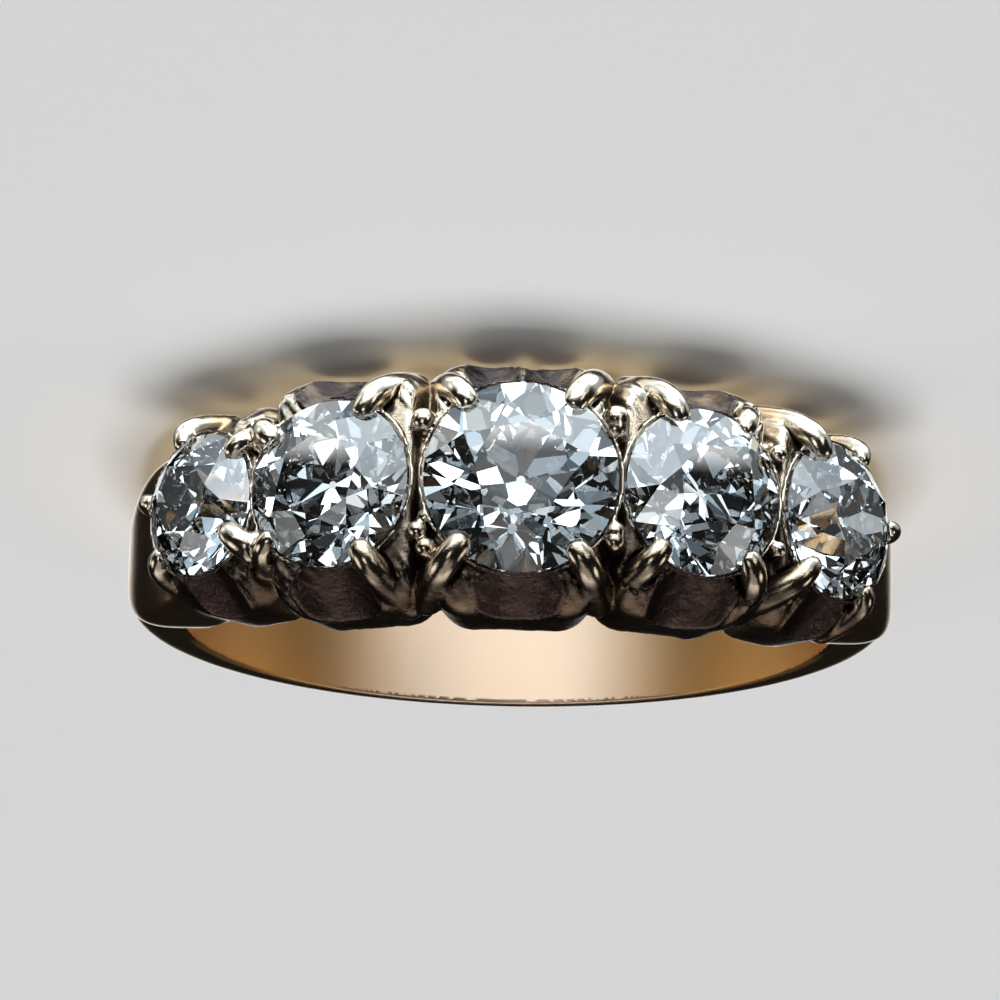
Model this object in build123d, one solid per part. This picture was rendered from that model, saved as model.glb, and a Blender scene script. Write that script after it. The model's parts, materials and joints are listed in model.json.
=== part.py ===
from build123d import *
from math import acos, atan2, cos, degrees, hypot, radians, sin, sqrt, tan
import os

# Five stone half hoop ring: a plain band, a carved head that carries five round old-cut stones in
# a row, and the stones. All lengths are in millimetres. The ring is drawn with its finger hole's
# axis along Z and its head towards -Y, and is then laid on its side the way it rests by itself.

# Band
finger_hole_diameter = 17.8
band_width = 2.75
band_thickness = 1.15
band_edge_round = 0.7
band_off_centre = 0.2      # the back of the band lies this far off the row's middle
shoulder_width = 4.6       # where the band runs into the head
shoulder_thickness = 2.0
shoulder_turn = 60         # degrees round from the middle of the head
taper_turn = 92            # degrees round, from here on the band keeps its own width

# Row of stones: name, turn round the ring in degrees, girdle diameter, turn of its facets, and where
# its claws stand (degrees round the stone, from the +turn side towards the side that faces the floor)
stones = [
    ("outer_stone_a", -45.3, 3.75, 14, (42, 108, 170, 222, 322)),
    ("inner_stone_a", -24.8, 4.38, 8, (58, 136, 220, 300)),
    ("centre_stone", 0.0, 5.00, -9, (56, 126, 232, 306)),
    ("inner_stone_b", 23.8, 4.38, -17, (62, 119, 228, 302)),
    ("outer_stone_b", 46.0, 4.12, 5, (5, 66, 121, 224, 298)),
]
girdle_height = 2.7        # girdle plane above the finger
seat_gap = 0.045           # the gold stays this far off a stone's girdle

# Cut of a stone, as shares of its diameter, and its two main slopes
table_share = 0.50
star_share = 0.45          # of the way from the table's edge to the girdle
lower_facet_share = 0.60   # of the way from the girdle to the middle of the back
culet_share = 0.05
girdle_share = 0.025
crown_slope = 36.0
pavilion_slope = 41.0

# Head
wall_margin = 0.87         # wall outside the girdle, across the ring
wall_drop = 1.15           # top of the wall below the girdle plane, from here it slopes up to the stone
ledge_drop = 0.20          # ledge round each stone, below the girdle plane
ledge_width = 0.20
groove_depth = 0.45        # between two lobes of the wall
groove_round = 1.1
groove_break = 0.03        # the groove leaves the wall at a slight angle
back_hole_share = 0.64     # of a stone's diameter

# Scoops below each stone, gouged from under its girdle out through the slope: one on each side of
# the row, but two side by side where the biggest stone faces the floor
scoop_lip = 0.12           # gold left outside the girdle
scoop_start = 0.72         # below the girdle plane
scoop_end = 1.42
scoop_share = 0.285        # radius, of the stone's diameter
double_scoop_share = 0.17
double_scoop_apart = 0.31  # middle to middle, of the stone's diameter

# Claws and the beads between two stones
claw_root_radius = 0.58
claw_tip_radius = 0.47
claw_root_depth = 1.90     # below the girdle plane
claw_root_out = 0.40       # outside the girdle
claw_tip_out = 0.20
claw_tip_height = 0.22
bead_radius = 0.36
bead_height = 0.08         # of the dome's middle above the girdle plane
bead_foot_depth = 0.90
dome_flat_radius = 0.05    # worn flat on top of each dome
bead_places = [1.28, 1.42, 1.42, 1.28]     # off the row's middle, for each pair of neighbours

finger_radius = finger_hole_diameter / 2
girdle_radius = finger_radius + girdle_height
overrun = 3.0              # how far a cutter passes what it cuts
around = range(8)
facet_turn = 45.0
cos_half = cos(radians(facet_turn / 2))
cos_quarter = cos(radians(facet_turn / 4))


def seat(turn, radius):
    """A plane square to the radius at this turn: x goes on round the ring, z points outwards."""
    outwards = Vector(-sin(radians(turn)), -cos(radians(turn)), 0)
    onwards = Vector(-cos(radians(turn)), sin(radians(turn)), 0)
    return Plane(origin=outwards * radius, x_dir=onwards, z_dir=outwards)


def polar(radius, turn, height):
    return (radius * cos(radians(turn)), radius * sin(radians(turn)), height)


def face_of(points):
    return Face(Wire.make_polygon(points, close=True))


def brilliant(diameter):
    """A round stone with flat facets, its girdle plane at z = 0 and its table upwards."""
    girdle_r = diameter / 2
    corner = girdle_r / cos_quarter        # facets are drawn out to here, then turned round
    girdle_z = girdle_share * diameter / 2
    table_r = table_share * girdle_r
    star_r = table_r * cos_half + star_share * (girdle_r - table_r * cos_half)
    lower_r = girdle_r * (1 - lower_facet_share)
    culet_r = culet_share * girdle_r
    table_z = girdle_z + (corner - table_r) * tan(radians(crown_slope))
    star_z = girdle_z + (corner - star_r * cos_half) * tan(radians(crown_slope))
    lower_z = -girdle_z - (corner - lower_r * cos_half) * tan(radians(pavilion_slope))
    culet_z = -girdle_z - (corner - culet_r * cos_half) * tan(radians(pavilion_slope))

    table = [polar(table_r, facet_turn * k, table_z) for k in around]
    star = [polar(star_r, facet_turn * (k + 0.5), star_z) for k in around]
    top = [polar(corner, facet_turn * k / 2, girdle_z) for k in range(16)]
    bottom = [polar(corner, facet_turn * k / 2, -girdle_z) for k in range(16)]
    lower = [polar(lower_r, facet_turn * (k + 0.5), lower_z) for k in around]
    culet = [polar(culet_r, facet_turn * (k + 0.5), culet_z) for k in around]

    faces = [face_of(table), face_of(culet)]
    for k in around:
        after, before, g = (k + 1) % 8, (k - 1) % 8, 2 * k
        middle, far = g + 1, (g + 2) % 16
        faces.append(face_of([table[k], table[after], star[k]]))
        faces.append(face_of([table[k], star[before], top[g], star[k]]))
        faces.append(face_of([star[k], top[g], top[middle]]))
        faces.append(face_of([star[k], top[middle], top[far]]))
        faces.append(face_of([top[g], top[middle], bottom[middle], bottom[g]]))
        faces.append(face_of([top[middle], top[far], bottom[far], bottom[middle]]))
        faces.append(face_of([lower[k], bottom[g], bottom[middle]]))
        faces.append(face_of([lower[k], bottom[middle], bottom[far]]))
        faces.append(face_of([culet[before], lower[before], bottom[g], lower[k], culet[k]]))
    return (Solid(Shell(faces)) & Cylinder(girdle_r, 3 * diameter)).solid()


def wall_half(diameter):
    return diameter / 2 + wall_margin


def junction_turn(one, other):
    return (one[1] + other[1]) / 2


def band():
    """A D-shaped band that grows wider and thicker towards the head."""
    outer = finger_radius + (band_thickness + shoulder_thickness) / 2
    shift = (shoulder_thickness - band_thickness) / 2
    tall = shoulder_width + overrun
    ring = Pos(0, -shift, 0) * Cylinder(outer, tall) - Cylinder(finger_radius, 2 * tall)
    head_y = -finger_radius * cos(radians(shoulder_turn))
    back_y = -finger_radius * cos(radians(taper_turn))
    far_y = outer + overrun
    outline, wide_ends, narrow_ends = [], [], []
    for sign in (1, -1):
        wide = (head_y, sign * shoulder_width / 2)
        narrow = (back_y, sign * band_width / 2 - band_off_centre)
        half_way = ((wide[0] + narrow[0]) / 2, (wide[1] + narrow[1]) / 2)
        wide_ends.append((-far_y, wide[1]))
        narrow_ends.append((far_y, narrow[1]))
        outline += [Line(wide_ends[-1], wide), TangentArc(wide, half_way, tangent=(1, 0))]
        outline += [TangentArc(narrow, half_way, tangent=(-1, 0)), Line(narrow, narrow_ends[-1])]
    outline += [Line(*wide_ends), Line(*narrow_ends)]
    blank = ring & extrude(Plane.YZ * make_face(Curve() + outline), far_y, both=True)
    rim = []
    for edge in blank.edges():
        out = hypot(edge.center().X, edge.center().Y)
        if out > finger_radius + band_thickness / 2 and edge.length > 2 * shoulder_thickness:
            rim.append(edge)
    return fillet(rim, band_edge_round)


def head_block():
    """The uncarved head: a block with sloping shoulders for each stone, and a round end at each outer one."""
    last = len(stones) - 1
    deep = girdle_height + overrun / 2
    pieces = []
    for i, (name, turn, diameter, spin, claws) in enumerate(stones):
        low = turn if i == 0 else junction_turn(stones[i - 1], stones[i])
        high = turn if i == last else junction_turn(stones[i], stones[i + 1])
        corners = [(0, 0)]
        for side_turn in (low, high):
            reach = girdle_radius / cos(radians(side_turn - turn))
            corners.append((-reach * sin(radians(side_turn)), -reach * cos(radians(side_turn))))
        wedge = extrude(make_face(Polyline(*corners, close=True)), girdle_radius, both=True)
        half = wall_half(diameter)
        right_side = [(half, -deep), (half, -wall_drop), (diameter / 2 + ledge_width, -ledge_drop)]
        left_side = [(-y, z) for y, z in reversed(right_side)]
        section = make_face(Polyline(*right_side, *left_side, close=True))
        across = extrude(Plane.YZ * section, diameter, both=True)
        pieces.append(wedge & (seat(turn, girdle_radius).location * across))
        if i in (0, last):
            outline = Polyline((0, -deep), *right_side, (0, -ledge_drop), close=True)
            round_end = revolve(Plane.XZ * make_face(outline), Axis.Z)
            pieces.append(seat(turn, girdle_radius).location * round_end)
    return pieces[0].fuse(*pieces[1:])


def groove(one, other, side):
    """The rounded notch between two lobes of the wall, as a cutter along the radius."""
    tall_one, tall_other = (wall_half(stone[2]) + groove_break for stone in (one, other))
    apex = (tall_one + tall_other) / 2 - groove_break - groove_depth
    outlines, ends = [], []
    for sign, tall in ((-1, tall_one), (1, tall_other)):
        deep = tall - apex
        reach = sqrt(2 * groove_round * deep - deep * deep)
        centre = (sign * reach, tall - groove_round)
        at_apex = atan2(apex - centre[1], -centre[0])
        at_top = radians(90)
        half_way = (at_apex + at_top) / 2
        middle = (centre[0] + groove_round * cos(half_way), centre[1] + groove_round * sin(half_way))
        outlines.append(ThreePointArc((0, apex), middle, (centre[0], tall)))
        ends.append((centre[0], tall))
    beyond = max(tall_one, tall_other) + overrun
    outlines.append(Polyline(ends[0], (ends[0][0], beyond), (ends[1][0], beyond), ends[1]))
    section = make_face(Curve() + outlines)
    cutter = extrude(section, girdle_height + 2 * overrun)
    if side < 0:
        cutter = mirror(cutter, Plane.XZ)
    return seat(junction_turn(one, other), finger_radius - overrun).location * cutter


def scoop(stone, side, off_middle, radius):
    """A gouge cut below a stone, from just under its girdle out through the slope and the wall."""
    name, turn, diameter, spin, claws = stone
    start = (side * (diameter / 2 + scoop_lip), -scoop_start)
    end = (side * wall_half(diameter), -scoop_end)
    run = hypot(end[0] - start[0], end[1] - start[1])
    along = ((end[0] - start[0]) / run, (end[1] - start[1]) / run)
    outward = (-along[1] * side, along[0] * side)
    middle = [(start[n] + end[n]) / 2 + outward[n] * radius for n in (0, 1)]
    axis = Plane(origin=(off_middle, middle[0], middle[1]), x_dir=(1, 0, 0), z_dir=(0, along[0], along[1]))
    return seat(turn, girdle_radius).location * (axis.location * Cylinder(radius, run + 2 * overrun))


def scoops():
    """All of the gouges, in the order of the stones."""
    biggest = max(stones, key=lambda stone: stone[2])
    cutters = []
    for stone in stones:
        diameter = stone[2]
        cutters.append(scoop(stone, -1, 0, scoop_share * diameter))
        if stone is biggest:
            for way in (-1, 1):
                off_middle = way * double_scoop_apart * diameter / 2
                cutters.append(scoop(stone, 1, off_middle, double_scoop_share * diameter))
        else:
            cutters.append(scoop(stone, 1, 0, scoop_share * diameter))
    return cutters


def domed_post(root_radius, tip_radius, length):
    """A tapering round post: its foot at z = 0, its dome centred at the end of its length."""
    at_flat = acos(dome_flat_radius / tip_radius)
    on_dome = []
    for turn in (0, at_flat / 2, at_flat):
        on_dome.append((tip_radius * cos(turn), length + tip_radius * sin(turn)))
    sides = Polyline(on_dome[2], (0, on_dome[2][1]), (0, 0), (root_radius, 0), on_dome[0])
    return revolve(Plane.XZ * make_face(Curve() + [ThreePointArc(*on_dome), sides]), Axis.Z)


def claw(stone, direction):
    """A leaning post whose domed tip reaches over the stone's edge."""
    name, turn, diameter, spin, claws = stone
    root = polar(diameter / 2 + claw_root_out, direction, -claw_root_depth)
    tip = polar(diameter / 2 + claw_tip_out, direction, claw_tip_height)
    rise = Vector(*tip) - Vector(*root)
    post = domed_post(claw_root_radius, claw_tip_radius, rise.length)
    return seat(turn, girdle_radius).location * (Plane(origin=root, z_dir=rise).location * post)


def beads(one, other, off_middle):
    """Two beads of gold between neighbouring stones."""
    place = seat(junction_turn(one, other), girdle_radius).location
    post = domed_post(bead_radius, bead_radius, bead_foot_depth + bead_height)
    return [place * (Pos(0, side * off_middle, -bead_foot_depth) * post) for side in (-1, 1)]


def setting():
    """All of the gold in one piece: band, carved head, claws and beads, with the seats cut in."""
    pairs = list(zip(stones[:-1], stones[1:]))
    head = head_block()
    cutters = [groove(one, other, side) for one, other in pairs for side in (-1, 1)]
    head = head.cut(*cutters, *scoops())
    raised = [claw(stone, direction) for stone in stones for direction in stone[4]]
    for (one, other), off_middle in zip(pairs, bead_places):
        raised += beads(one, other, off_middle)
    gold = head.fuse(band(), *raised)
    openings = [Cylinder(finger_radius, 6 * shoulder_width)]
    for name, turn, diameter, spin, claws in stones:
        place = seat(turn, girdle_radius).location
        openings.append(place * (Rot(0, 0, spin) * brilliant(diameter + 2 * seat_gap)))
        back_hole = Cylinder(back_hole_share * diameter / 2, girdle_height + overrun,
                             align=(Align.CENTER, Align.CENTER, Align.MAX))
        openings.append(place * (Pos(0, 0, -girdle_share * diameter) * back_hole))
    return gold.cut(*openings)


def rest_place():
    """Turns the ring so that the head's wall and the back of the band both touch the floor."""
    head_low = wall_half(max(stone[2] for stone in stones))
    back_low = band_width / 2 + band_off_centre
    back_reach = finger_radius + band_thickness - band_edge_round
    lean = atan2(head_low - back_low, finger_radius + back_reach)
    return Rot(-degrees(lean), 0, 0)


parts = {"band_and_setting": setting()}
for name, turn, diameter, spin, claws in stones:
    parts[name] = seat(turn, girdle_radius).location * (Rot(0, 0, spin) * brilliant(diameter))

laid = {name: rest_place() * shape for name, shape in parts.items()}
reach = Compound(children=[shape.solid() for shape in laid.values()]).bounding_box()
onto_floor = Pos(-reach.center().X, -reach.center().Y, -reach.min.Z)

os.makedirs("parts", exist_ok=True)
for name, shape in laid.items():
    export_step((onto_floor * shape).solid(), f"parts/{name}.step")
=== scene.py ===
import bpy
import json
from math import atan2, cos, pi, radians, sin, sqrt, tan
from mathutils import Matrix, Vector
from mathutils.bvhtree import BVHTree


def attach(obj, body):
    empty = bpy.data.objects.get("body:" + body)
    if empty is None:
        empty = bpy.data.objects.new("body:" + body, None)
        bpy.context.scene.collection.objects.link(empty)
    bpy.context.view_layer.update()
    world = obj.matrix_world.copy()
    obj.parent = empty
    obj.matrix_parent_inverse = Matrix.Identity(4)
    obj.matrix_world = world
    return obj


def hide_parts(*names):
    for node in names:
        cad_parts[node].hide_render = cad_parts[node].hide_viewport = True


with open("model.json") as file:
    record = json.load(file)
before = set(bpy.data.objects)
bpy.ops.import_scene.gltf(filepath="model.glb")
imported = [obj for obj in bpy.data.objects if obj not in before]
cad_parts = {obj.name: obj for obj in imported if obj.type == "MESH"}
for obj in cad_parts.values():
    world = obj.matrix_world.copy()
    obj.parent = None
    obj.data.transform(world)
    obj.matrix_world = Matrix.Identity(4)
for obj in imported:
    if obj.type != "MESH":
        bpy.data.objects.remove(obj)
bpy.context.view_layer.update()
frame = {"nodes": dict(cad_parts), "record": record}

# The ring's own axes, worked out from its finger hole: the hole's axis is Z, the head with its five
# stones is towards -Y, and lengths are in millimetres. The ring lies on its -Z side with a slight
# lean, so each piece is drawn on these axes and then laid down by one matrix.
hole = frame["record"]["mounts"][0]
finger_radius = hole["dims"]["r_mm"]
lean = atan2(hole["axis"][1], hole["axis"][2])
lay_down = Matrix.Translation(hole["pos_m"]) @ Matrix.Rotation(-lean, 4, "X") @ Matrix.Scale(0.001, 4)
stand_up = lay_down.inverted()

# The five seats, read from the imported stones: how far each is turned round the ring, which the points
# of its back tell, and its diameter.
girdle_radius = finger_radius + 2.7
behind_girdle = 1.5
stones = {}
for name in ("outer_stone_a", "inner_stone_a", "centre_stone", "inner_stone_b", "outer_stone_b"):
    points = [stand_up @ vertex.co for vertex in frame["nodes"][name].data.vertices]
    back_points = [point for point in points if point.xy.length < girdle_radius - behind_girdle]
    turns = [atan2(-point.x, -point.y) for point in back_points]
    stones[name] = (sum(turns) / len(turns), max(p.z for p in points) - min(p.z for p in points))


# Gold: a warm rose gold band and a paler head, polished where it is rubbed. The head's side that faces up
# is browned as painted shade. The scoops are dark with old polish and tarnish, the hollows with dirt and
# painted shade, and the walls below the claws with painted shade. The inside of the band is worn soft and
# pale, and deeper orange towards its sides as painted reflection.
class Wire:
    """A number that a node gives. It adds, multiplies and so on like a number of Python's own."""

    def __init__(self, socket):
        self.socket = socket

    def maths(self, operation, *values):
        node = self.socket.id_data.nodes.new("ShaderNodeMath")
        node.operation = operation
        for socket, value in zip(node.inputs, values):
            if isinstance(value, Wire):
                self.socket.id_data.links.new(value.socket, socket)
            else:
                socket.default_value = value
        return Wire(node.outputs[0])

    def __add__(self, other):
        return self.maths("ADD", self, other)

    def __radd__(self, other):
        return self.maths("ADD", other, self)

    def __sub__(self, other):
        return self.maths("SUBTRACT", self, other)

    def __rsub__(self, other):
        return self.maths("SUBTRACT", other, self)

    def __mul__(self, other):
        return self.maths("MULTIPLY", self, other)

    def __rmul__(self, other):
        return self.maths("MULTIPLY", other, self)

    def __truediv__(self, other):
        return self.maths("DIVIDE", self, other)

    def __pow__(self, other):
        return self.maths("POWER", self, other)

    def __abs__(self):
        return self.maths("ABSOLUTE", self)

    def sine(self):
        return self.maths("SINE", self)

    def angle_from(self, other):
        """The angle whose tangent is this number over the other."""
        return self.maths("ARCTAN2", self, other)

    def least(self, other, blend=0.0):
        """The lesser number; where the two are about equal they run into each other."""
        return self.maths("SMOOTH_MIN", self, other, blend)

    def most(self, other, blend=0.0):
        """The greater number, blended in the same way."""
        return self.maths("SMOOTH_MAX", self, other, blend)


class Bench:
    """A node tree that is being wired. One method adds a node of any type."""

    def __init__(self, tree):
        self.tree = tree

    def add(self, kind, settings=None, values=None, output=0):
        node = self.tree.nodes.new(kind)
        for name, value in (settings or {}).items():
            setattr(node, name, value)
        for name, value in (values or {}).items():
            if isinstance(value, Wire):
                self.tree.links.new(value.socket, node.inputs[name])
            else:
                node.inputs[name].default_value = value
        return Wire(node.outputs[output])

    def parts(self, vector):
        """The three numbers of a vector."""
        split = self.add("ShaderNodeSeparateXYZ", values={"Vector": vector})
        return [Wire(socket) for socket in split.socket.node.outputs]

    def between(self, value, low, high):
        """Rises smoothly from 0 where value is low to 1 where it is high."""
        limits = {"Value": value, "From Min": low, "From Max": high}
        return self.add("ShaderNodeMapRange", {"interpolation_type": "SMOOTHSTEP"}, limits)

    def blend(self, share, one, other):
        """A colour that goes from one to the other."""
        return self.add("ShaderNodeMix", {"data_type": "RGBA"}, {0: share, 6: one, 7: other}, output=2)


def material_bench(name):
    """A new material, its bench and its main shader."""
    material = bpy.data.materials.new(name)
    material.use_nodes = True
    return material, Bench(material.node_tree), material.node_tree.nodes["Principled BSDF"]


def far_from(one, other):
    """The length of the slanting side of a right triangle."""
    return (one * one + other * other) ** 0.5


gold, bench, shader = material_bench("gold")
rose_gold = (0.83, 0.56, 0.30, 1)
champagne = (0.86, 0.74, 0.58, 1)
# brown for painted shade on the head's side that faces up
painted_shade_gold = (0.45, 0.33, 0.22, 1)
pale_wear = (0.88, 0.66, 0.48, 1)
# deeper orange: painted reflection of the gold in itself, towards the sides of the band's inside
painted_reflection_orange = (0.80, 0.44, 0.15, 1)
# near-black: dirt, and painted shade in the hollows and below the claws
dirt_and_shade_dark = (0.040, 0.024, 0.020, 1)
tarnish_below = (0.040, 0.026, 0.025, 1)
tarnish_above = (0.085, 0.054, 0.048, 1)
in_ring = bench.add("ShaderNodeMapping", {"vector_type": "TEXTURE"}, {
    "Vector": bench.add("ShaderNodeTexCoord", output="Object"),
    "Location": hole["pos_m"],
    "Rotation": (-lean, 0, 0),
    "Scale": (0.001, 0.001, 0.001),
})
x, y, z = bench.parts(in_ring)
out = far_from(x, y)
# an occlusion share kept on the mesh, which darkens the gold as dirt and as painted shade
dirt_and_shade_share = bench.add("ShaderNodeAttribute", {"attribute_name": "dirt_and_shade_share"}, output="Fac")
scooped = bench.add("ShaderNodeAttribute", {"attribute_name": "scooped"}, output="Fac")
patches = bench.add("ShaderNodeTexNoise", values={"Vector": in_ring, "Scale": 1.3, "Detail": 5.0})
grain = bench.add("ShaderNodeTexNoise", values={"Vector": in_ring, "Scale": 9.0, "Detail": 6.0})
drawn_out = bench.add("ShaderNodeVectorMath", {"operation": "MULTIPLY"}, {0: in_ring, 1: (1.0, 1.0, 14.0)})
scratches = bench.add("ShaderNodeTexNoise", values={"Vector": drawn_out, "Scale": 3.0, "Detail": 4.0})

raised = bench.between(out, girdle_radius - 1.0, girdle_radius - 0.1)
# darker where the occlusion share is high: partly dirt, partly painted shade
dirt_and_shade = bench.between(dirt_and_shade_share + (patches - 0.5) * 0.35, 0.34, 0.66)
inside = bench.between(out, finger_radius + 0.30, finger_radius + 0.10) * bench.between(y, 1.0, 3.0)
on_head = bench.between(y, -5.0, -7.0) * bench.between(out, finger_radius + 0.1, finger_radius + 0.4)
# painted shade on the walls below the claws, heavier on the side that faces up
below_girdle = out - bench.between(z, 0.0, 0.8) * 0.22
painted_shade_below_claws = bench.between(below_girdle, girdle_radius + 0.05, girdle_radius - 0.35) * on_head
painted_shade_below_claws = painted_shade_below_claws * (0.28 + bench.between(z, -0.8, 0.8) * 0.60 + (patches - 0.5) * 0.5)

# the head's side that faces up is browned: painted shade
head_gold_and_shade = bench.blend(bench.between(z, 0.8, 2.0) * 0.7, champagne, painted_shade_gold)
# the inside of the band: paler in its middle, deeper orange towards its sides as painted reflection
inside_gold_and_reflection = bench.blend(bench.between(abs(x), 2.0, 6.5), pale_wear, painted_reflection_orange)
tarnish = bench.blend(bench.between(z, -1.0, 1.0), tarnish_below, tarnish_above)
colour = bench.blend(raised, rose_gold, head_gold_and_shade)
colour = bench.blend(inside, colour, inside_gold_and_reflection)
colour = bench.blend(dirt_and_shade * 0.9, colour, dirt_and_shade_dark)
colour = bench.blend(painted_shade_below_claws, colour, dirt_and_shade_dark)
colour = bench.blend(scooped * (0.95 + (patches - 0.5) * 1.2), colour, tarnish)
bench.tree.links.new(colour.socket, shader.inputs["Base Color"])
rough = 0.16 + dirt_and_shade * 0.26 + scooped * 0.06 + painted_shade_below_claws * 0.12 + inside * 0.22
rough = rough + ((patches - 0.5) * 0.10 + (scratches - 0.5) * 0.08) * (1 - inside * 0.8)
bench.tree.links.new(rough.socket, shader.inputs["Roughness"])
bumps = grain * (0.3 + dirt_and_shade + scooped * 1.5 + painted_shade_below_claws * 1.5)
bumps = bumps + patches * scooped * 14.0 + scratches * 0.4
bump = bench.add("ShaderNodeBump", values={
    "Strength": 0.35,
    "Distance": 0.00002,
    "Height": bumps * (1 - inside * 0.8),
})
bench.tree.links.new(bump.socket, shader.inputs["Normal"])
shader.inputs["Metallic"].default_value = 1.0


# Band: gold wire of a D-section, bent round and soldered, wider and thicker towards the head. The
# whole of the gold has one rule for its form, which starts here: how far a point is outside the gold.
def geometry_bench(name):
    """A new tree for a modifier: its bench, the geometry that it is given, a function that adds a named
    size to its inputs, and the value of each input."""
    tree = bpy.data.node_groups.new(name, "GeometryNodeTree")
    tree.interface.new_socket("Geometry", in_out="INPUT", socket_type="NodeSocketGeometry")
    tree.interface.new_socket("Geometry", in_out="OUTPUT", socket_type="NodeSocketGeometry")
    given = tree.nodes.new("NodeGroupInput")
    input_values = {}

    def size(label, value):
        socket = tree.interface.new_socket(label, in_out="INPUT", socket_type="NodeSocketFloat")
        input_values[socket.identifier] = value
        return Wire(given.outputs[label])

    return Bench(tree), Wire(given.outputs["Geometry"]), size, input_values


bench, claw_roots, size, input_values = geometry_bench("gold ring")
place = bench.add("GeometryNodeInputPosition")
x, y, z = bench.parts(place)
out = far_from(x, y)
back_half_width = 1.375
back_off_middle = 0.2
band_off_centre = 0.425
shoulder_half_width = size("Half width of the shoulders", 2.3)
towards_back = bench.between(y, -finger_radius * 0.5, finger_radius * 0.035)
half_width = shoulder_half_width - towards_back * (shoulder_half_width - back_half_width)
beside_band = abs(z + towards_back * back_off_middle) - half_width
above_band = far_from(x, y + band_off_centre) - size("Outside radius of the band", finger_radius + 1.575)
band = above_band.most(beside_band, size("Softness of the band's edges", 1.23))

# Head: a bar of gold soldered between the shoulders, with a lobe for each stone. Its wall stands on
# the finger, and a slope runs up from the wall to the ledge round each stone.
bar_half_width = 1.75
bar_drop = 0.40
bar_front = 8.1
bar_softness = 0.3
wall_margin = 0.87
wall_further_out = {"inner_stone_a": 0.16, "inner_stone_b": 0.16}
wall_drop = 1.15
ledge_drop = 0.20
wall_radius = 10.4
head_start = 5.0
# how softly one form runs into another: two of the head's, and the head and the band
crease = 0.05
band_crease = 0.5
slope_line = Vector((0.95, 0.67)).normalized()
notch_depth = (out - girdle_radius + 1.2).most(0.0, 0.1) * 0.38
lobe_round = size("Round of the lobes", 1.15)
lobe_lap = size("Lap of two lobes", 0.14) - notch_depth
seats = {}
bar_side = abs(z) - bar_half_width
gold_form = bar_side.most(out - girdle_radius + bar_drop, bar_softness).most(y + bar_front, bar_softness)
turns = [turn for turn, diameter in stones.values()]
to_joint = [wall_radius * tan((other - one) / 2) for one, other in zip(turns, turns[1:])]
for i, (name, (turn, diameter)) in enumerate(stones.items()):
    outwards = x * -sin(turn) - y * cos(turn)
    along = y * sin(turn) - x * cos(turn)
    across = z * -1
    height = outwards - girdle_radius
    seats[name] = (along, across, height)
    half = diameter / 2 + wall_margin + wall_further_out.get(name, 0.0)
    spread = along * wall_radius / outwards.most(1.0)
    if name == "outer_stone_a":
        towards_row, towards_end = spread.most(0.0), along.least(0.0)
        middle, wide = 0.0, to_joint[0]
    elif name == "outer_stone_b":
        towards_row, towards_end = spread.least(0.0), along.most(0.0)
        middle, wide = 0.0, to_joint[-1]
    else:
        towards_row, towards_end = spread, None
        middle, wide = (to_joint[i] - to_joint[i - 1]) / 2, (to_joint[i] + to_joint[i - 1]) / 2
    beside = abs(towards_row - middle) - (lobe_lap - lobe_round + wide)
    past_wall = abs(across) - half
    beyond = past_wall + lobe_round
    wall = far_from(beside.most(0.0), beyond.most(0.0)) + beside.most(beyond).least(0.0) - lobe_round
    if towards_end is not None:
        past_wall = far_from(towards_end, across) - half
        wall = wall.most(past_wall)
    slope = past_wall * slope_line.x + (height + wall_drop) * slope_line.y
    lobe = wall.most(slope, 0.25).most(height + ledge_drop, 0.30).most(head_start - outwards)
    gold_form = gold_form.least(lobe, crease)
gold_form = gold_form.least(band, band_crease)

# Scoops: gouged below each stone, from under its edge out through the wall. The centre stone has one
# on the open side and two side by side on the side that lies down, and a small nick in the wall there.
scoop_share = 0.36
scoop_lip = 0.12
scoop_start = 0.72
scoop_under_edge = 0.35
twin_radius = 0.88
twin_off_middle = 0.78
scoop_line = Vector((0.75, -0.83)).normalized()
scoops = None
for name, (turn, diameter) in stones.items():
    along, across, height = seats[name]
    gouges = [(abs(across), 0.0, scoop_share * diameter)]
    if name == "centre_stone":
        gouges = [
            (across * -1, 0.0, scoop_share * diameter),
            (across, -twin_off_middle, twin_radius),
            (across, twin_off_middle, twin_radius),
        ]
    for side_on, off_middle, gouge_radius in gouges:
        start = Vector((diameter / 2 + scoop_lip, -scoop_start))
        over = (side_on - start.x) * -scoop_line.y + (height - start.y) * scoop_line.x - gouge_radius
        gouge = far_from(along - off_middle, over) - gouge_radius
        gouge = gouge.most(diameter / 2 - scoop_under_edge - side_on)
        scoops = gouge if scoops is None else scoops.least(gouge)
gold_form = gold_form.most(scoops * -1, 0.06)
nick_radius = 0.5
nick_off_middle = 0.1
nick_past_wall = 0.32
along, across, height = seats["centre_stone"]
nick_at = stones["centre_stone"][1] / 2 + wall_margin + nick_past_wall
nick = far_from(along - nick_off_middle, across - nick_at) - nick_radius
gold_form = gold_form.most(nick * -1, crease)

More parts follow.
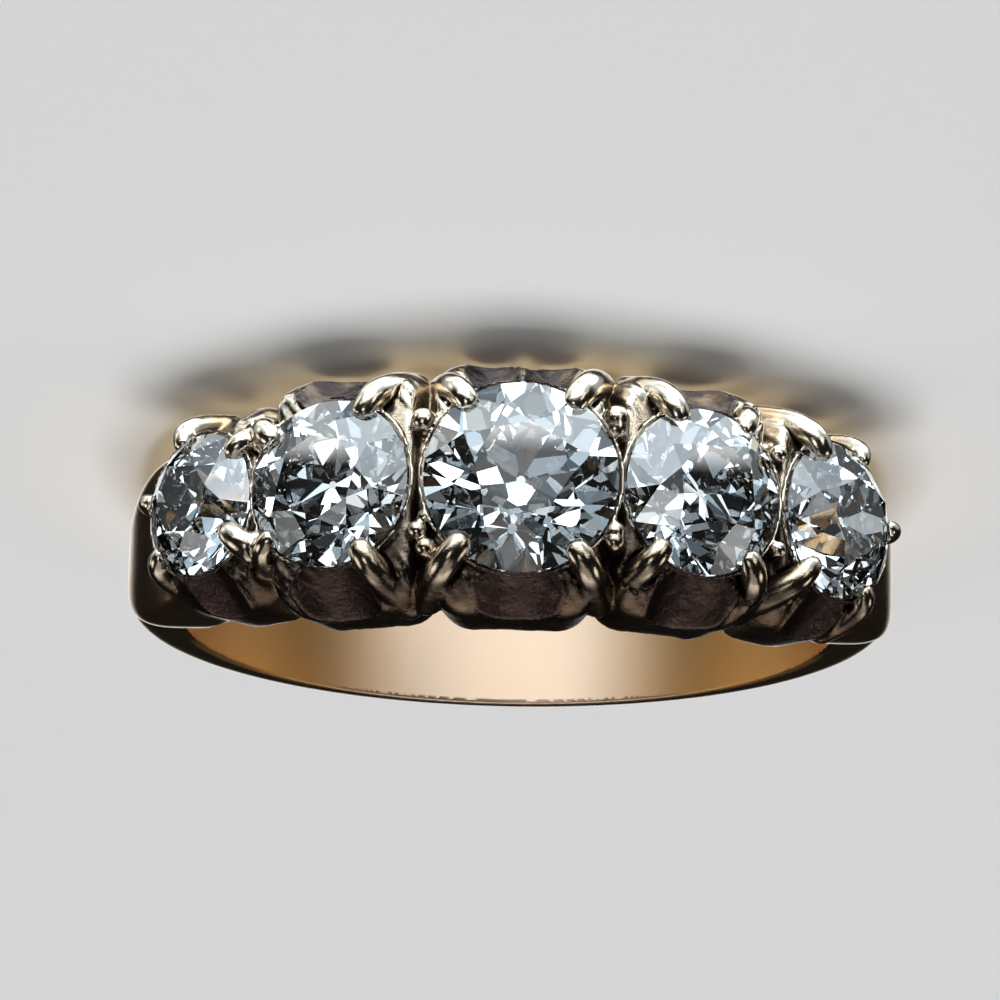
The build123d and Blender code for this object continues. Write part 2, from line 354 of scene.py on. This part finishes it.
# Claws: raised from the wall with a graver, pushed over the stone's edge and rounded. Each has a full
# shoulder outside the stone and a narrower tip that lies on it.
claws = {
    # stone: direction round it in degrees, reach over the stone, girth, height
    "outer_stone_a": (
        (42, 0.9, 0.8, 1.0),
        (108, 0.9, 0.85, 1.0),
        (170, 0.8, 0.7, 0.9),
        (222, 0.8, 0.75, 0.9),
        (322, 1.3, 1.05, 1.1),
    ),
    "inner_stone_a": (
        (62, 1.1, 1.0, 1.0),
        (141, 0.9, 0.95, 1.0),
        (220, 0.8, 0.8, 0.9),
        (298, 1.1, 1.0, 1.0),
    ),
    "centre_stone": (
        (56, 1.1, 1.05, 1.0),
        (126, 0.95, 0.95, 1.0),
        (230, 1.2, 1.05, 1.0),
        (307, 1.0, 1.0, 1.0),
    ),
    "inner_stone_b": (
        (58, 0.9, 0.8, 0.9),
        (113, 1.1, 1.0, 1.1),
        (234, 1.0, 0.95, 1.0),
        (307, 1.0, 0.95, 1.0),
    ),
    "outer_stone_b": (
        (5, 0.8, 0.7, 0.9),
        (66, 0.8, 0.75, 0.9),
        (118, 1.1, 1.05, 1.1),
        (230, 1.2, 0.95, 1.0),
        (298, 0.8, 0.75, 0.9),
    ),
}


def seat_at(turn, radius):
    """The matrix of a place at this turn round the ring: its Z points outwards, its X on round the ring."""
    outwards = Vector((-sin(turn), -cos(turn), 0))
    onwards = Vector((-cos(turn), sin(turn), 0))
    axes = Matrix((onwards, outwards.cross(onwards), outwards)).transposed().to_4x4()
    return Matrix.Translation(outwards * radius) @ axes


roots = []
for name, kinds in claws.items():
    turn, diameter = stones[name]
    for direction, reach, girth, tall in kinds:
        way = radians(direction)
        at_edge = Matrix.Translation((cos(way) * diameter / 2, sin(way) * diameter / 2, 0))
        facing_in = Matrix.Rotation(way + pi, 4, "Z")
        roots.append((seat_at(turn, girdle_radius) @ at_edge @ facing_in, (reach, girth, tall)))
root_points = bpy.data.meshes.new("claw roots")
root_points.from_pydata([matrix.translation for matrix, scale in roots], [], [])
for label in ("facing", "scale"):
    root_points.attributes.new(label, "FLOAT_VECTOR", "POINT")
for i, (matrix, scale) in enumerate(roots):
    root_points.attributes["facing"].data[i].vector = matrix.to_euler()
    root_points.attributes["scale"].data[i].vector = scale

claw_depth = size("Depth of a claw's root", 1.75)
claw_reach = size("Reach of a claw's tip", 0.10)
claw_lift = size("Lift of a claw's tip", 0.15)
root_out = 0.92
wall_out = 0.70
bend_out = 0.46
claw_girth = 0.54
tip_taper = 0.20
root_taper = 0.08
spine = bench.add("GeometryNodeCurvePrimitiveBezierSegment", values={
    "Resolution": 60,
    "Start": bench.add("ShaderNodeCombineXYZ", values={"X": -root_out, "Z": claw_depth * -1}),
    "Start Handle": bench.add("ShaderNodeCombineXYZ", values={"X": -wall_out, "Z": claw_depth * -0.35}),
    "End Handle": bench.add("ShaderNodeCombineXYZ", values={"X": -bend_out, "Z": claw_lift * 1.3}),
    "End": bench.add("ShaderNodeCombineXYZ", values={"X": claw_reach, "Z": claw_lift}),
})
facing_of = bench.add("GeometryNodeInputNamedAttribute", {"data_type": "FLOAT_VECTOR"}, {"Name": "facing"})
scale_of = bench.add("GeometryNodeInputNamedAttribute", {"data_type": "FLOAT_VECTOR"}, {"Name": "scale"})
placed = bench.add("GeometryNodeInstanceOnPoints", values={
    "Points": claw_roots,
    "Instance": spine,
    "Rotation": facing_of,
    "Scale": scale_of,
})
spines = bench.add("GeometryNodeRealizeInstances", values={"Geometry": placed})
share = bench.add("GeometryNodeSplineParameter", output="Factor")
girth = claw_girth - bench.between(share, 0.78, 1.0) * tip_taper
girth = girth - bench.between(share, 0.55, 0.15) * root_taper
spines = bench.add("GeometryNodeStoreNamedAttribute", {"data_type": "FLOAT", "domain": "POINT"}, {
    "Geometry": spines,
    "Name": "girth",
    "Value": girth * bench.parts(scale_of)[1],
})
spines = bench.add("GeometryNodeCurveToMesh", values={"Curve": spines})
nearest = bench.add("GeometryNodeSampleNearest", {"domain": "POINT"}, {
    "Geometry": spines,
    "Sample Position": place,
})
girth_there = bench.add("GeometryNodeSampleIndex", {"data_type": "FLOAT", "domain": "POINT"}, {
    "Geometry": spines,
    "Value": bench.add("GeometryNodeInputNamedAttribute", {"data_type": "FLOAT"}, {"Name": "girth"}),
    "Index": nearest,
})
spine_distance = bench.add("GeometryNodeProximity", {"target_element": "EDGES"}, {
    "Geometry": spines,
    "Sample Position": place,
}, output="Distance")
claw_form = spine_distance - girth_there

# The graver leaves slanting cuts along both edges of the row, about 0.4 mm apart, and clears the gold
# away round each claw.
cut_depth = 0.016
clearing_width = 0.06
clearing_drop = 0.35
along_row = x.angle_from(y * -1) * -11.0
graver_cuts = ((along_row + z * -0.8) * 17.0).sine() * cut_depth
at_edges = bench.between(abs(z), 1.7, 2.1) * bench.between(out, 10.9, 11.2)
gold_form = gold_form + graver_cuts * at_edges
clearing = (claw_form - clearing_width).most(girdle_radius - clearing_drop - out)
gold_form = gold_form.most(clearing * -1, crease).least(claw_form, 0.03)

# Beads: small grains of the same gold, raised between neighbouring stones and rounded. Each stands on
# a short post, and a thin wall between the two seats carries the posts.
beads = (
    # neighbours, off the row's middle in mm, off the joint in degrees, radius
    ("outer_stone_a", "inner_stone_a", 1.32, 0.0, 0.25),
    ("outer_stone_a", "inner_stone_a", -1.28, 0.0, 0.24),
    ("inner_stone_a", "centre_stone", 1.50, 0.0, 0.33),
    ("inner_stone_a", "centre_stone", -1.05, 0.3, 0.18),
    ("inner_stone_a", "centre_stone", -1.40, -0.5, 0.26),
    ("inner_stone_a", "centre_stone", -1.85, 0.6, 0.28),
    ("centre_stone", "inner_stone_b", 1.68, 0.0, 0.33),
    ("centre_stone", "inner_stone_b", 1.42, 0.0, 0.31),
    ("centre_stone", "inner_stone_b", -1.32, 0.0, 0.27),
    ("centre_stone", "inner_stone_b", -1.58, 0.0, 0.27),
    ("inner_stone_b", "outer_stone_b", 1.36, 0.0, 0.25),
    ("inner_stone_b", "outer_stone_b", -1.20, 0.0, 0.23),
)
bead_rise = girdle_radius + 0.10
post_length = 0.8
bead_form = None
for one, other, off_middle, off_turn, bead_radius in beads:
    turn = (stones[one][0] + stones[other][0]) / 2 + radians(off_turn)
    centre = Vector((-sin(turn) * bead_rise, -cos(turn) * bead_rise, -off_middle))
    away = bench.add("ShaderNodeVectorMath", {"operation": "DISTANCE"}, {0: place, 1: centre}, "Value")
    above = out - bead_rise
    sunk = above.least(0.0).most(-post_length)
    bead = (away * away - above * sunk * 2.0 + sunk * sunk) ** 0.5 - bead_radius
    bead_form = bead if bead_form is None else bead_form.least(bead, crease)
gold_form = gold_form.least(bead_form, crease)
seat_wall_half = 0.14
seat_wall_drop = 0.35
seat_wall_foot = 9.3
for one, other in zip(turns, turns[1:]):
    turn = (one + other) / 2
    seat_wall = (abs(y * sin(turn) - x * cos(turn)) - seat_wall_half).most(bar_side).most(y + head_start)
    seat_wall = seat_wall.most(out - girdle_radius + seat_wall_drop).most(seat_wall_foot - out)
    gold_form = gold_form.least(seat_wall, crease)

# Seats: each stone sits in a bearing cut to its own form, with a thin rim rubbed up round its edge and
# an open hole behind it. The finger hole is bored last, and the head has a hand-made unevenness.
crown, pavilion = radians(36), radians(41)
girdle_sides = 16
girdle_share = 0.0125
seat_gap = 0.03
rim_out = 0.09
rim_drop = 0.03
unevenness = 0.05
back_hole_share = 0.32
back_hole_top = 0.1
back_hole_depth = 5.0
for name, (turn, diameter) in stones.items():
    along, across, height = seats[name]
    off_axis = far_from(along, across)
    rim = far_from(off_axis - (diameter / 2 + rim_out), height + rim_drop) - size("Rim of " + name, 0.055)
    gold_form = gold_form.least(rim, 0.06)
uneven = bench.add("ShaderNodeTexNoise", values={"Vector": place, "Scale": 1.1, "Detail": 3.0}) - 0.5
gold_form = gold_form + uneven * bench.between(y, -4.0, -7.0) * unevenness
for name, (turn, diameter) in stones.items():
    along, across, height = seats[name]
    off_axis = far_from(along, across)
    past_corner = off_axis - diameter / 2 / cos(pi / girdle_sides)
    edge = diameter * girdle_share
    above_crown = past_corner * sin(crown) + (height - edge) * cos(crown)
    behind_pavilion = past_corner * sin(pavilion) - (height + edge) * cos(pavilion)
    stone_form = above_crown.most(behind_pavilion).most(off_axis - diameter / 2)
    gold_form = gold_form.most(seat_gap - stone_form, 0.02)
    back_hole = (off_axis - back_hole_share * diameter).most(height + back_hole_top)
    back_hole = back_hole.most(-back_hole_depth - height)
    gold_form = gold_form.most(back_hole * -1, crease)
gold_form = gold_form.most(finger_radius - out, 0.12)

# The gold's surface, taken from that rule as one closed mesh: where the distance outside the gold is
# nought. Crumbs of fewer corners that aren't joined to the ring are swept away.
grid = 0.075
fewest_corners = 5000.0
thinning = 0.48
low, high = Vector((-10.8, -12.6, -3.6)), Vector((10.8, 10.3, 3.6))
cast = bench.add("GeometryNodeVolumeCube", values={
    "Density": gold_form * -1,
    "Background": -1.0,
    "Min": low,
    "Max": high,
    "Resolution X": int((high.x - low.x) / grid),
    "Resolution Y": int((high.y - low.y) / grid),
    "Resolution Z": int((high.z - low.z) / grid),
})
cast = bench.add("GeometryNodeVolumeToMesh", values={"Volume": cast, "Threshold": 0.0})
corners = bench.add("GeometryNodeAccumulateField", {"data_type": "FLOAT", "domain": "POINT"}, {
    "Value": 1.0,
    "Group ID": bench.add("GeometryNodeInputMeshIsland"),
}, output="Total")
cast = bench.add("GeometryNodeDeleteGeometry", {"domain": "POINT"}, {
    "Geometry": cast,
    "Selection": fewest_corners - corners,
})
cast = bench.add("GeometryNodeStoreNamedAttribute", {"data_type": "FLOAT", "domain": "POINT"}, {
    "Geometry": cast,
    "Name": "scooped",
    "Value": bench.between(scoops, 0.10, 0.02) * bench.between(claw_form, 0.02, 0.12),
})
cast = bench.add("GeometryNodeSetMaterial", values={"Geometry": cast, "Material": gold})
bench.tree.links.new(cast.socket, bench.tree.nodes.new("NodeGroupOutput").inputs[0])
ring = bpy.data.objects.new("gold_ring", root_points)
bpy.context.scene.collection.objects.link(ring)
pour = ring.modifiers.new("pour", "NODES")
pour.node_group = bench.tree
for identifier, value in input_values.items():
    pour[identifier] = value
thin = ring.modifiers.new("thin out", "DECIMATE")
thin.ratio = thinning
worn = bpy.data.meshes.new_from_object(ring.evaluated_get(bpy.context.evaluated_depsgraph_get()))
ring.modifiers.clear()
ring.data = worn

# Partly dirt and partly painted shade where little light gets in: the share of short rays from each point
# of the head that meet gold. A finger has worn the hole smooth: there the shading normals point straight at
# its axis.
ray_count = 14
ray_length = 1.6
ray_lift = 0.02
dirt_and_shade_from = -3
worn_within = 0.01
spots = [vertex.co.copy() for vertex in worn.vertices]
normals = [vertex.normal.copy() for vertex in worn.vertices]
gold_faces = BVHTree.FromPolygons(spots, [list(polygon.vertices) for polygon in worn.polygons])
golden = pi * (3 - sqrt(5))
rays = []
for i in range(ray_count):
    up = (i + 0.5) / ray_count
    rays.append(Vector((cos(golden * i) * sqrt(1 - up), sin(golden * i) * sqrt(1 - up), sqrt(up))))
shares = []
for spot, normal in zip(spots, normals):
    met = 0
    if spot.y < dirt_and_shade_from:
        turned = normal.to_track_quat("Z", "Y")
        for ray in rays:
            if gold_faces.ray_cast(spot + normal * ray_lift, turned @ ray, ray_length)[0] is not None:
                met += 1
    shares.append(met / ray_count)
# the occlusion share, kept on the mesh for the gold's dirt and painted shade
worn.attributes.new("dirt_and_shade_share", "FLOAT", "POINT").data.foreach_set("value", shares)
worn.transform(lay_down)
worn.polygons.foreach_set("use_smooth", [True] * len(worn.polygons))
into_room = lay_down.to_3x3().normalized()
for i, spot in enumerate(spots):
    if spot.xy.length < finger_radius + worn_within:
        normals[i] = Vector((-spot.x, -spot.y, 0)).normalized()
worn.normals_split_custom_set_from_vertices([into_room @ normal for normal in normals])
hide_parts("band_and_setting")
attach(ring, "root")


# Diamonds: five round stones of the old cut, very slightly blue, cut and polished by hand. Each lies
# in its bearing under its claws. Their packed facets are kept as they are.
diamond, bench, shader = material_bench("diamond")
shader.inputs["Base Color"].default_value = (0.90, 0.965, 1.0, 1)
shader.inputs["Roughness"].default_value = 0.0
shader.inputs["IOR"].default_value = 2.42
shader.inputs["Transmission Weight"].default_value = 1.0
for name in stones:
    node = frame["nodes"][name]
    node.data.materials.clear()
    node.data.materials.append(diamond)


# Studio: a plain pale floor under the ring, the photo's point of view, and soft lights all round. The
# gold and the stones mirror the lights below them too, because the floor hides nothing from them.
floor_half = 2
floor_mesh = bpy.data.meshes.new("floor")
floor_corners = [(-floor_half, -floor_half, 0), (floor_half, -floor_half, 0),
                 (floor_half, floor_half, 0), (-floor_half, floor_half, 0)]
floor_mesh.from_pydata(floor_corners, [], [(0, 1, 2, 3)])
floor = bpy.data.objects.new("floor", floor_mesh)
bpy.context.scene.collection.objects.link(floor)
paper, bench, shader = material_bench("floor")
shader.inputs["Base Color"].default_value = (0.8, 0.8, 0.8, 1)
shader.inputs["Roughness"].default_value = 0.6
floor.data.materials.append(paper)
floor.visible_glossy = False
floor.visible_transmission = False
floor.visible_shadow = False

yaw, tip, roll = radians(1.17), radians(14.22), radians(1.13)
distance = 147.0
aim_right, aim_up = -0.266, 2.458


def from_photo(x, y, z):
    """A direction with x to the photo's right, y up in it and z towards the viewer, on the ring's axes."""
    return Vector((-x, -z, -y))


def photo_axes():
    """The photo's right, up and towards-the-viewer directions, on the ring's axes."""
    across = Vector((cos(yaw), 0, sin(yaw)))
    inwards = Vector((-sin(yaw), 0, cos(yaw)))
    upwards = Vector((0, cos(tip), 0)) + inwards * sin(tip)
    towards = Vector((0, -sin(tip), 0)) + inwards * cos(tip)
    right = across * cos(roll) + upwards * sin(roll)
    up = upwards * cos(roll) - across * sin(roll)
    return [from_photo(*axis) for axis in (right, up, towards)]


right, up, towards = photo_axes()
stand = lay_down @ (towards * distance)
aim = lay_down @ (right * aim_right + up * aim_up)
back = (stand - aim).normalized()
side = (lay_down.to_quaternion() @ up).cross(back).normalized()
camera = bpy.data.objects.new("camera", bpy.data.cameras.new("camera"))
bpy.context.scene.collection.objects.link(camera)
camera_axes = Matrix((side, back.cross(side), back)).transposed().to_4x4()
camera.matrix_world = Matrix.Translation(stand) @ camera_axes
camera.data.sensor_width = 36
camera.data.lens = 192.0
camera.data.clip_start = 0.01
camera.data.clip_end = 10
bpy.context.scene.camera = camera

overhead = bpy.data.objects.new("overhead", bpy.data.lights.new("overhead", "AREA"))
bpy.context.scene.collection.objects.link(overhead)
overhead.data.size = 0.5
overhead.data.energy = 4.6
overhead.location = (0, 0.2, 0.8)
overhead.rotation_euler = overhead.location.to_track_quat("Z", "Y").to_euler()
overhead.visible_glossy = False
overhead.visible_transmission = False

neutral = (1, 1, 1)
sky_blue = (0.70, 0.87, 1)
cool = (0.84, 0.94, 1)
pale_cool = (0.93, 0.97, 1)
soft_cream = (1, 0.98, 0.94)
cream = (1, 0.97, 0.93)
warm = (1, 0.95, 0.88)
softboxes = (
    # degrees round from the front, degrees up, radius and softness in degrees, strength, colour
    # large and dim: the pale surroundings
    (0, -60, 50, 12, 0.86, sky_blue),
    (0, 90, 22, 8, 0.4, neutral),
    (105, -38, 22, 10, 0.50, cool),
    (-105, -38, 22, 10, 0.50, cool),
    # below, in front and at the sides
    (20, -33, 18, 4, 2.6, cool),
    (-18, -30, 11, 3, 2.4, cool),
    (-18, -62, 19, 4, 2.4, cool),
    (-90, -58, 18, 4, 2.0, cool),
    (54, -58, 12, 3, 1.5, soft_cream),
    (126, -58, 14, 3, 1.0, neutral),
    (180, -80, 14, 3, 1.6, neutral),
    (-36, 0, 7, 2, 2.0, neutral),
    (108, 0, 10, 3, 1.2, neutral),
    (90, -32, 10, 3, 1.0, warm),
    # above
    (90, 27, 13, 3, 1.6, neutral),
    (-90, 32, 11, 3, 1.5, neutral),
    (18, 27, 8, 2, 2.2, pale_cool),
    (18, 58, 9, 3, 0.5, neutral),
    # what the centre stone's table and the inside of the band mirror
    (0, -12, 16, 6, 0.16, cream),
    (-5, -18, 3, 1, 4.0, neutral),
    # behind
    (180, -25, 16, 6, 1.2, neutral),
    (-150, 60, 14, 6, 1.0, neutral),
    (150, 62, 14, 6, 1.0, neutral),
)
between_boxes = 0.009
# a long narrow strip, low in front
strip_strength = 3.0
strip_tilt = 0.0885
world = bpy.data.worlds.new("studio")
world.use_nodes = True
bench = Bench(world.node_tree)
direction = bench.add("ShaderNodeTexCoord", output="Generated")
x, y, z = bench.parts(direction)
level = z + y * strip_tilt
strip = bench.between(level, -0.325, -0.315) * bench.between(level, -0.262, -0.267)
light = strip * bench.between(y, -0.50, -0.58) * strip_strength + between_boxes
for azimuth, elevation, radius, soft, strength, colour in softboxes:
    a, e = radians(azimuth), radians(elevation)
    towards_box = (sin(a) * cos(e), -cos(a) * cos(e), sin(e))
    values = {0: direction, 1: towards_box}
    facing = bench.add("ShaderNodeVectorMath", {"operation": "DOT_PRODUCT"}, values, output="Value")
    lit = bench.between(facing, cos(radians(radius + soft)), cos(radians(radius - soft)))
    glow = [strength * part for part in colour]
    light = bench.add("ShaderNodeVectorMath", {"operation": "MULTIPLY_ADD"}, {0: lit, 1: glow, 2: light})
bench.tree.links.new(light.socket, world.node_tree.nodes["Background"].inputs["Color"])
bpy.context.scene.world = world

scene = bpy.context.scene
scene.view_settings.view_transform = "Standard"
scene.view_settings.look = "None"
scene.cycles.max_bounces = 24
scene.cycles.transmission_bounces = 24
scene.cycles.glossy_bounces = 8
